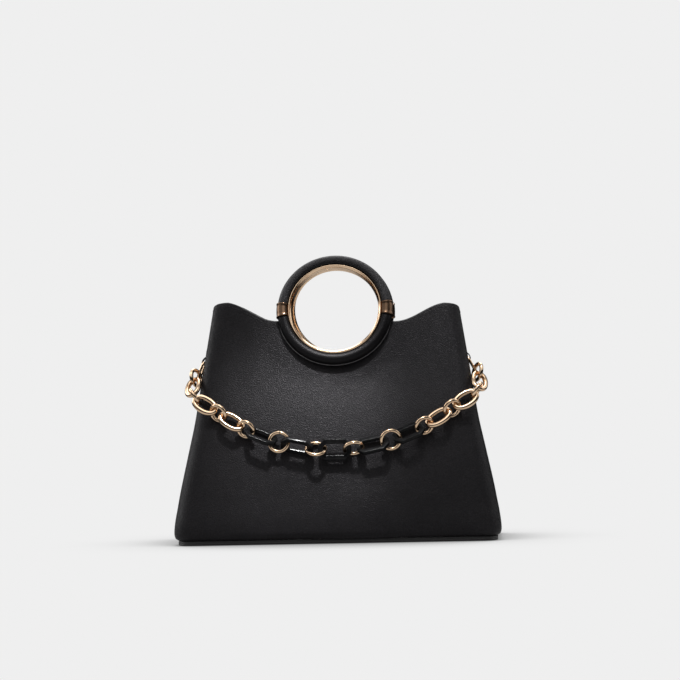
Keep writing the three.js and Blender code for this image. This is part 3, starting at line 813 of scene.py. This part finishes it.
def ring_handle(name, facing):
    """A wrapped ring with its gold liner and its two ferrules."""
    place = ring_place(facing)
    crisp = CRISP_OVER["ring"]
    points, faces, finishes = joined([(*wrap_half(0), 0), (*wrap_half(math.pi), 1), (*welt(), 2)])
    leathers = [UPPER_HANDLE_PAINTED_LIGHT, HANDLE_LEATHER_PAINTED_SHADE, WELT_PAINTED_HIGHLIGHT]
    tube = new_object(f"{name}_leather", placed(points, place), faces, leathers, finishes)
    settle(tube, "handle_leather", f"{name}_upper_wrap", f"{name}_lower_wrap", crisp=crisp)

    section = liner_section()
    turns = np.linspace(0, 2 * math.pi, LINER_STEPS, endpoint=False)
    points, faces = skin_over([swung(section, turn) for turn in turns], closed=True)
    liner = new_object(f"{name}_gold", placed(points, place), faces, [ROSE_GOLD])
    settle(liner, "gold", f"{name}_liner", crisp=crisp)

    points, faces, _ = joined([(*ferrule(0), 0), (*ferrule(math.pi), 0)])
    sleeves = new_object(f"{name}_ferrules", placed(points, place), faces, [BRONZE_PAINTED_SHADE])
    settle(sleeves, "bronze", f"{name}_ferrule_right", f"{name}_ferrule_left", crisp=crisp)


# Geometry trees


def in_metres(sizes):
    return {name: size * MM for name, size in sizes.items()}


def grown(start, tree, values):
    """What a geometry tree makes of a start mesh, as a plain mesh object."""
    modifier = start.modifiers.new(tree.name, "NODES")
    modifier.node_group = tree
    for item in tree.interface.items_tree:
        if item.item_type == "SOCKET" and item.in_out == "INPUT" and item.name in values:
            modifier[item.identifier] = values[item.name]
    bpy.context.view_layer.update()
    shown = start.evaluated_get(bpy.context.evaluated_depsgraph_get())
    mesh = bpy.data.meshes.new_from_object(shown)
    start.modifiers.remove(modifier)
    seed = start.data
    start.data = mesh
    bpy.data.meshes.remove(seed)
    mesh.name = start.name
    return start


def shape_tree(name, *sizes):
    """A geometry tree that takes a start mesh, sizes by name and a material."""
    inputs = [("Geometry", GEOMETRY), *((size, FLOAT) for size in sizes), ("Material", MATERIAL)]
    tree, given, made = new_tree(name, "GeometryNodeTree", inputs, [("Geometry", GEOMETRY)])
    return tree, given.outputs, made


def hand_over(tree, made, shape, material):
    """Ends a tree in a plain mesh with its material."""
    real = add(tree, "GeometryNodeRealizeInstances", {"Geometry": shape})
    dressed = add(tree, "GeometryNodeSetMaterial", {"Geometry": real.outputs[0], "Material": material})
    tree.links.new(dressed.outputs[0], made.inputs["Geometry"])


def set_on_points(tree, made, shape, material, rotation, points):
    """Ends a tree with one shape set on every point."""
    inputs = {"Points": points, "Instance": shape, "Rotation": rotation}
    hand_over(tree, made, add(tree, "GeometryNodeInstanceOnPoints", inputs).outputs[0], material)


def carried(tree, name):
    """The vector that each point carries under a name."""
    named = add(tree, "GeometryNodeInputNamedAttribute", {"Name": name}, data_type="FLOAT_VECTOR")
    return named.outputs["Attribute"]


def turn_of_point(tree):
    return add(tree, "FunctionNodeEulerToRotation", {"Euler": carried(tree, "turn")}).outputs[0]


def swept(tree, line, section, caps=False):
    inputs = {"Curve": line, "Profile Curve": section, "Fill Caps": caps}
    return add(tree, "GeometryNodeCurveToMesh", inputs).outputs[0]


def round_wire(tree, line, wire):
    """Round wire along a line, with closed ends."""
    half = maths(tree, "DIVIDE", wire, 2.0)
    section = add(tree, "GeometryNodeCurvePrimitiveCircle", {"Resolution": WIRE_SIDES, "Radius": half})
    return swept(tree, line, section.outputs["Curve"], caps=True)


def rounded_box(tree, width, height, *bends):
    """A rectangle with its corners turned, once for each radius and count of points."""
    line = add(tree, "GeometryNodeCurvePrimitiveQuadrilateral", {"Width": width, "Height": height}).outputs[0]
    for radius, count in bends:
        inputs = {"Curve": line, "Radius": radius, "Count": count, "Limit Radius": True}
        line = add(tree, "GeometryNodeFilletCurve", inputs, mode="POLY").outputs[0]
    return line


def signed_power(tree, value, power):
    size = maths(tree, "POWER", maths(tree, "ABSOLUTE", value), power)
    return maths(tree, "MULTIPLY", maths(tree, "SIGN", value), size)


def wire_link_tree():
    """A closed loop of round wire on each point, from round to squarish, cut where its ends meet."""
    tree, size, made = shape_tree("wire_links", "Length", "Width", "Wire", "Squareness", "Joint Angle")
    turns = {
        "Resolution": LOOP_POINTS,
        "Radius": 1.0,
        "Start Angle": maths(tree, "DIVIDE", size["Joint Angle"], 2.0),
        "Sweep Angle": maths(tree, "SUBTRACT", 2 * math.pi, size["Joint Angle"]),
    }
    arc = add(tree, "GeometryNodeCurveArc", turns).outputs["Curve"]
    at = add(tree, "ShaderNodeSeparateXYZ", {0: add(tree, "GeometryNodeInputPosition").outputs[0]}).outputs
    power = maths(tree, "DIVIDE", 2.0, size["Squareness"])
    spot = {}
    for axis, across in (("X", "Length"), ("Y", "Width")):
        half = maths(tree, "DIVIDE", maths(tree, "SUBTRACT", size[across], size["Wire"]), 2.0)
        spot[axis] = maths(tree, "MULTIPLY", signed_power(tree, at[axis], power), half)
    moved = {"Geometry": arc, "Position": add(tree, "ShaderNodeCombineXYZ", spot).outputs[0]}
    line = add(tree, "GeometryNodeSetPosition", moved).outputs[0]
    shape = round_wire(tree, line, size["Wire"])
    set_on_points(tree, made, shape, size["Material"], turn_of_point(tree), size["Geometry"])
    return tree


def bar_link_tree():
    """A rectangle of flat bar with its corners cut off on each point."""
    tree, size, made = shape_tree("bar_links", *BLACK_LINK)
    length = maths(tree, "SUBTRACT", size["Length"], size["Bar"])
    width = maths(tree, "SUBTRACT", size["Width"], size["Bar"])
    line = rounded_box(tree, length, width, (size["Corner"], 1), (size["Bend"], BEND_POINTS))
    section = rounded_box(tree, size["Bar"], size["Thickness"], (size["Edge"], BEND_POINTS))
    shape = swept(tree, line, section)
    set_on_points(tree, made, shape, size["Material"], turn_of_point(tree), size["Geometry"])
    return tree


def wire_path_tree():
    """Round wire along the edges of a path."""
    tree, given, made = shape_tree("wire_along_path", "Wire")
    line = add(tree, "GeometryNodeMeshToCurve", {"Mesh": given["Geometry"]}).outputs[0]
    hand_over(tree, made, round_wire(tree, line, given["Wire"]), given["Material"])
    return tree


def stitch_tree():
    """Stitches set along a path, lying on the leather with their length along the row."""
    tree, given, made = shape_tree("stitch_row", *STITCH)
    line = add(tree, "GeometryNodeMeshToCurve", {"Mesh": given["Geometry"]}).outputs[0]
    spaced = {"Curve": line, "Length": given["Pitch"]}
    row = add(tree, "GeometryNodeCurveToPoints", spaced, mode="LENGTH").outputs
    axes = {"Primary Axis": carried(tree, "out"), "Secondary Axis": row["Tangent"]}
    turn = add(tree, "FunctionNodeAxesToRotation", axes, primary_axis="Z", secondary_axis="X").outputs[0]
    bead = add(tree, "GeometryNodeMeshUVSphere", STITCH_BEAD).outputs[0]
    size = {"X": given["Stitch Length"], "Y": given["Stitch Width"], "Z": given["Stitch Height"]}
    scale = add(tree, "ShaderNodeCombineXYZ", size).outputs[0]
    shaped = add(tree, "GeometryNodeTransform", {"Geometry": bead, "Scale": scale}).outputs[0]
    smooth = add(tree, "GeometryNodeSetShadeSmooth", {"Geometry": shaped}).outputs[0]
    set_on_points(tree, made, smooth, given["Material"], turn, row["Points"])
    return tree


# Chain


def node_points(node):
    return np.array([v.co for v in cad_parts[node].data.vertices])


def link_axes(node):
    """Middle of a link, the direction it faces, and its long direction, from its frame node."""
    points = node_points(node)
    middle = points.mean(axis=0)
    _, axes = np.linalg.eigh(np.cov((points - middle).T))
    return middle, axes[:, 0], axes[:, 2]


def link_turns(nodes, joints=None):
    """Middles and turns of links. A ring's joint is turned towards its own direction."""
    middles, turns = [], []
    for k, node in enumerate(nodes):
        middle, facing, along = link_axes(node)
        if joints is not None:
            along = unit(np.asarray(joints[k]) - np.dot(joints[k], facing) * facing)
        across = np.cross(facing, along)
        turn = Matrix(np.column_stack([along, across, facing]).tolist()).to_euler()
        middles.append(middle / MM)
        turns.append(tuple(turn))
    return middles, turns


def point_mesh(name, points, attribute, vectors, edges=()):
    """A start mesh for a geometry tree: points that carry a vector each."""
    obj = new_object(name, points, [], [], edges=edges)
    layer = obj.data.attributes.new(attribute, "FLOAT_VECTOR", "POINT")
    layer.data.foreach_set("vector", np.asarray(vectors, float).ravel())
    return obj


def numbered(kind):
    return [f"{kind}_{k}" for k in range(1, LINK_COUNTS[kind] + 1)]


def links(name, kind, tree, values, slot, crisp):
    """All links of one kind, as one piece."""
    middles, turns = link_turns(numbered(kind), JOINT_TOWARDS.get(kind))
    start = point_mesh(name, middles, "turn", turns)
    settle(grown(start, tree, values), slot, *numbered(kind), crisp=crisp)


def chain():
    wire_tree = wire_link_tree()
    for kind, size in WIRE_LINKS.items():
        shape = {"Squareness": SQUARENESS[kind], "Joint Angle": JOINT_GAPS[kind] / size["Length"]}
        values = {**in_metres(size), **shape, "Material": ROSE_GOLD}
        links(f"gold_{kind}s", kind, wire_tree, values, "gold", CRISP_OVER["wire"])
    values = {**in_metres(BLACK_LINK), "Material": ENAMEL}
    links("black_chain_links", "black_link", bar_link_tree(), values, "enamel", CRISP_OVER["bar"])


# Side rings and tabs


def side_ring_frame(node):
    """Middle of a side ring's round end, its direction along the bar, and up."""
    middle, out, along = link_axes(node)
    up = np.cross(out, along)
    up *= np.sign(up[2])
    middle = middle / MM
    from_middle = node_points(node) / MM - middle
    heights, places = from_middle @ up, from_middle @ along
    centre = middle + up * (heights.max() - SIDE_RING["leg"] - SIDE_RING["wire"])
    centre += along * (places.max() + places.min()) / 2
    return tucked(centre, along, up)


def tucked(centre, along, up):
    """The ring turned about its round end, so that its bar goes in with the gusset."""
    reach = SIDE_RING["hole"] / 2 + SIDE_RING["wire"]
    foot = centre - up * reach
    bar = foot + up * (reach + BAR_UP)
    side = int(np.sign(centre[0]))
    bar[0] -= side * drawn_in(side, bar[2])
    up = unit(bar - foot)
    return foot + up * reach, along, up


def side_ring_path():
    """A D: a straight bar at the top with bent corners, and a round end below."""
    radius = (SIDE_RING["hole"] + SIDE_RING["wire"]) / 2
    bend = SIDE_RING["corner"]
    turns = np.linspace(math.pi, 2 * math.pi, SIDE_RING_POINTS["round"])
    path = [(radius * math.cos(a), radius * math.sin(a)) for a in turns]
    for centre_x, first in ((radius - bend, 0.0), (bend - radius, math.pi / 2)):
        for a in np.linspace(first, first + math.pi / 2, SIDE_RING_POINTS["corner"]):
            path.append((centre_x + bend * math.cos(a), BAR_UP - bend + bend * math.sin(a)))
    return path


def tab_path():
    """Middle line of a strip folded round the bar: down the gusset, round the bar, and up again."""
    layer, length = TAB["layer"], TAB["length"]
    middle, bar = BAR_HOLE + layer / 2, BAR_HOLE + layer
    path = [(layer / 2, y) for y in np.linspace(length, 0, TAB_POINTS["down"])[:-1]]
    for a in np.linspace(math.pi, 2 * math.pi + TAB_FOLD["past"], TAB_POINTS["round"]):
        path.append((bar + middle * math.cos(a), middle * math.sin(a)))
    last = np.array(path[-1])
    lean = last + (0, TAB_FOLD["lean"])
    join = np.array([1.5 * layer + TAB_FOLD["gap"], TAB_FOLD["join"]])
    for share in np.linspace(0, 1, TAB_POINTS["back"])[1:]:
        path.append(tuple((1 - share) ** 2 * last + 2 * share * (1 - share) * lean + share ** 2 * join))
    path += [(join[0], y) for y in np.linspace(join[1], length, TAB_POINTS["up"])[1:]]
    return np.array(path)


def tab_strip():
    """A flat strip with rounded edges along the folded path, in its own plane."""
    path = tab_path()
    corners = box_corners(TAB["layer"] / 2, TAB["width"] / 2)
    section = rounded(corners, TAB["round"], TAB_POINTS["edge"])
    loops = []
    for point, tangent in zip(path, unit(np.gradient(path, axis=0))):
        side = np.array([tangent[1], -tangent[0]])
        flat = point + section[:, :1] * side
        loops.append(np.column_stack([flat, section[:, 1]]))
    return skin_over(loops, closed=False)


def gusset_slope(z):
    low, high = body_section(z), body_section(z + TAB["length"])
    return math.atan2(float(low["half_width"] - high["half_width"]), TAB["length"])


def round_edges(count):
    return [(k, (k + 1) % count) for k in range(count)]


def stitch_row(name, points, outs, edges, size, tree):
    start = point_mesh(name, points, "out", outs, edges)
    settle(grown(start, tree, {**in_metres(size), "Material": THREAD}), "leather")


def side_tab(name, side, bar, stitches):
    """A strip folded round the ring's bar on the gusset, sewn down with a box of stitches."""
    slope = gusset_slope(bar[2])
    up = np.array([-side * math.sin(slope), 0, math.cos(slope)])
    out = np.array([side * math.cos(slope), 0, math.sin(slope)])
    place = np.eye(4)
    place[:3, 0], place[:3, 1], place[:3, 2] = out, up, np.cross(out, up)
    place[:3, 3] = bar - out * (BAR_HOLE + TAB["layer"])
    points, faces = tab_strip()
    tab = new_object(f"side_tab_{name}", placed(points, place), faces, [HANDLE_LEATHER_PAINTED_SHADE])
    settle(tab, "leather", f"ring_tab_{name}", crisp=CRISP_OVER["tab"])

    low, high, half = TAB_STITCH_BOX["low"], TAB_STITCH_BOX["high"], TAB_STITCH_BOX["half_width"]
    face = 2 * TAB["layer"] + TAB_STITCH_BOX["lift"]
    corners = placed([(face, low, -half), (face, high, -half), (face, high, half), (face, low, half)], place)
    stitch_row(f"tab_stitches_{name}", corners, [out] * 4, round_edges(4), TAB_STITCH, stitches)


def side_fastening(name, side, wire_tree, stitches):
    """A side ring and the tab that holds it."""
    centre, along, up = side_ring_frame(f"side_ring_{name}")
    path = np.array([centre + along * a + up * b for a, b in side_ring_path()])
    start = new_object(f"side_ring_{name}_gold", path, [], [], edges=round_edges(len(path)))
    ring = grown(start, wire_tree, {"Wire": SIDE_RING["wire"] * MM, "Material": ROSE_GOLD})
    settle(ring, "gold", f"side_ring_{name}", crisp=CRISP_OVER["wire"])
    side_tab(name, side, centre + up * BAR_UP, stitches)


# Stitches along the top edges


def edge_stitches(name, columns, outer, normals, stitches):
    """Stitches a little below the top edge, in a row from each side seam to the ring."""
    points, outs, edges = [], [], []
    first, last = EDGE_STITCH["skip"], len(columns) - 1
    plain = len(SEAM_STEPS) + GUSSET_COLUMNS + CORNER_COLUMNS + SHOULDER_COLUMNS
    for chosen in (range(first, plain - 1), range(last - plain + 2, last - first + 1)):
        count = len(points)
        edges.extend((count + k, count + k + 1) for k in range(len(chosen) - 1))
        for j in chosen:
            line = outer[:, j]
            gaps = np.linalg.norm(line - line[-1], axis=1)
            k = np.searchsorted(-gaps, -EDGE_STITCH["drop"])
            share = (gaps[k - 1] - EDGE_STITCH["drop"]) / (gaps[k - 1] - gaps[k])
            on_face = line[k - 1] + (line[k] - line[k - 1]) * share
            points.append(on_face + normals[k, j] * EDGE_STITCH["lift"])
            outs.append(normals[k, j])
    stitch_row(name, points, outs, edges, STITCH, stitches)


# Studio

FLOOR_TONE = 0.8632
# What the floor gives back to the bag, near it and far from it: glow and distance in metres
FLOOR_GLOW = {"near": 0.64, "far": 0.04, "from": 0.22, "to": 0.85}
FLOOR_REACH = 4000.0
WHITE = (1.0, 1.0, 1.0, 1.0)
# Soft shade where the sole meets the floor: reach in metres
CONTACT = {"reach": 0.13, "open": 0.99, "shut": 0.35, "shade": 0.33, "samples": 16}
WALL_GLOW = 0.04
HORIZON = {"from": 0.1, "to": 0.34}  # sines of the heights where the dark ends
# Soft bright panels over the horizon: direction, cosines where the glow starts and is full, and its strength
SKY_PANELS = [
    ((0.0, 0.0, 1.0), 0.35, 0.8, 0.3),
    ((0.0, -0.92, 1.0), 0.866, 0.978, 1.0),
    ((0.0, -0.3, 1.0), 0.93, 0.98, 1.9),
    ((0.0, 0.8, 1.0), 0.87, 0.94, 2.6),
    ((-1.0, -0.3, 0.7), 0.76, 0.95, 0.6),
    ((-1.0, 0.4, 0.4), 0.86, 0.97, 3.0),
    ((1.0, 0.25, 0.4), 0.82, 0.92, 1.1),
]
# Soft spots from above, on the middle of the front face and on its right shoulder: aim and size in
# millimetres, cone in degrees
SPOTS = {
    "key": {"aim": (-26.0, -50.0, 104.0), "azimuth": 3.0, "cone": 18.0, "power": 26.0},
    "shoulder": {"aim": (92.0, -25.0, 172.0), "azimuth": 0.0, "cone": 15.0, "power": 8.0},
}
SPOT = {"elevation": 66.0, "away": 650.0, "size": 22.0}


def bare_tree(owner):
    owner.use_nodes = True
    owner.node_tree.nodes.clear()
    return owner.node_tree


def pale_floor():
    """A floor that the camera sees as one pale tone, with a soft shade round the bag."""
    material = bpy.data.materials.new("pale_floor")
    tree = bare_tree(material)
    reach, samples = {"Distance": CONTACT["reach"]}, CONTACT["samples"]
    nearness = add(tree, "ShaderNodeAmbientOcclusion", reach, samples=samples).outputs["AO"]
    shade = ranged(tree, nearness, CONTACT["shut"], CONTACT["open"], CONTACT["shade"], 1.0)
    where = add(tree, "ShaderNodeTexCoord").outputs["Object"]
    away = add(tree, "ShaderNodeVectorMath", {0: where}, operation="LENGTH").outputs["Value"]
    glow = ranged(tree, away, FLOOR_GLOW["from"], FLOOR_GLOW["to"], FLOOR_GLOW["near"], FLOOR_GLOW["far"])
    seen = add(tree, "ShaderNodeLightPath").outputs["Is Camera Ray"]
    tone = ranged(tree, seen, 0.0, 1.0, glow, FLOOR_TONE, "LINEAR")
    strength = maths(tree, "MULTIPLY", tone, shade)
    plain = add(tree, "ShaderNodeEmission", {"Color": WHITE, "Strength": strength})
    add(tree, "ShaderNodeOutputMaterial", {"Surface": plain.outputs[0]})
    corners = [(x, y, 0) for x, y in box_corners(FLOOR_REACH, FLOOR_REACH)]
    new_object("pale_floor", corners, [(0, 1, 2, 3)], [material])


def studio_sky():
    """Pale all round for the camera, and soft bright panels over a dark horizon for the bag."""
    world = bpy.data.worlds.new("studio")
    bpy.context.scene.world = world
    tree = bare_tree(world)
    towards = add(tree, "ShaderNodeTexCoord").outputs["Generated"]

    def share_towards(direction):
        both = {0: towards, 1: Vector(direction).normalized()}
        return add(tree, "ShaderNodeVectorMath", both, operation="DOT_PRODUCT").outputs["Value"]

    light = WALL_GLOW
    for direction, low, high, glow in SKY_PANELS:
        light = maths(tree, "ADD", light, ranged(tree, share_towards(direction), low, high, 0.0, glow))
    above = ranged(tree, share_towards((0.0, 0.0, 1.0)), HORIZON["from"], HORIZON["to"])
    light = maths(tree, "MULTIPLY", light, above)
    room = add(tree, "ShaderNodeBackground", {"Color": WHITE, "Strength": light})
    pale = add(tree, "ShaderNodeBackground", {"Color": (FLOOR_TONE,) * 3 + (1.0,), "Strength": 1.0})
    seen = add(tree, "ShaderNodeLightPath").outputs["Is Camera Ray"]
    both = add(tree, "ShaderNodeMixShader", {0: seen, 1: room.outputs[0], 2: pale.outputs[0]})
    add(tree, "ShaderNodeOutputWorld", {"Surface": both.outputs[0]})


def soft_spot(name, spot):
    lamp = bpy.data.lights.new(name, "SPOT")
    lamp.shadow_soft_size = SPOT["size"] * MM
    lamp.spot_size = math.radians(spot["cone"])
    lamp.spot_blend = 1.0
    lamp.energy = spot["power"]
    light = in_scene(name, lamp)
    elevation, azimuth = math.radians(SPOT["elevation"]), math.radians(spot["azimuth"])
    level = math.cos(elevation)
    back = Vector((math.sin(azimuth) * level, -math.cos(azimuth) * level, math.sin(elevation)))
    light.location = (Vector(spot["aim"]) + back * SPOT["away"]) * MM
    light.rotation_mode = "QUATERNION"
    light.rotation_quaternion = back.to_track_quat("Z", "Y")


def camera():
    at, aim = Vector(CAMERA_AT) * MM, Vector(CAMERA_AIM) * MM
    forward = (aim - at).normalized()
    right = forward.cross(Vector((0, 0, 1))).normalized()
    level_up = right.cross(forward)
    up = level_up * math.cos(CAMERA_ROLL) + right * math.sin(CAMERA_ROLL)
    right = forward.cross(up)
    lens = bpy.data.cameras.new("photo_view")
    lens.sensor_width = SENSOR
    lens.lens = SENSOR * FOCAL_PIXELS / FRAME_PIXELS
    lens.clip_start, lens.clip_end = CAMERA_CLIP
    view = in_scene("photo_view", lens)
    turn = Matrix((right, up, -forward)).transposed()
    view.matrix_world = Matrix.Translation(at) @ turn.to_4x4()
    bpy.context.scene.camera = view
    bpy.context.scene.view_settings.view_transform = "Standard"


# Assembly

camera()
pale_floor()
studio_sky()
for spot_name, spot in SPOTS.items():
    soft_spot(spot_name, spot)

stitches = stitch_tree()
faces = {"front": -1, "back": 1}
for face, facing in faces.items():
    columns, outer, normals = leather_panel(f"{face}_leather", f"{face}_panel", facing)
    edge_stitches(f"{face}_edge_stitches", columns, outer, normals, stitches)
sole()
for face, facing in faces.items():
    ring_handle(f"{face}_ring", facing)
chain()
wire_path = wire_path_tree()
side_fastening("left", -1, wire_path, stitches)
side_fastening("right", 1, wire_path, stitches)
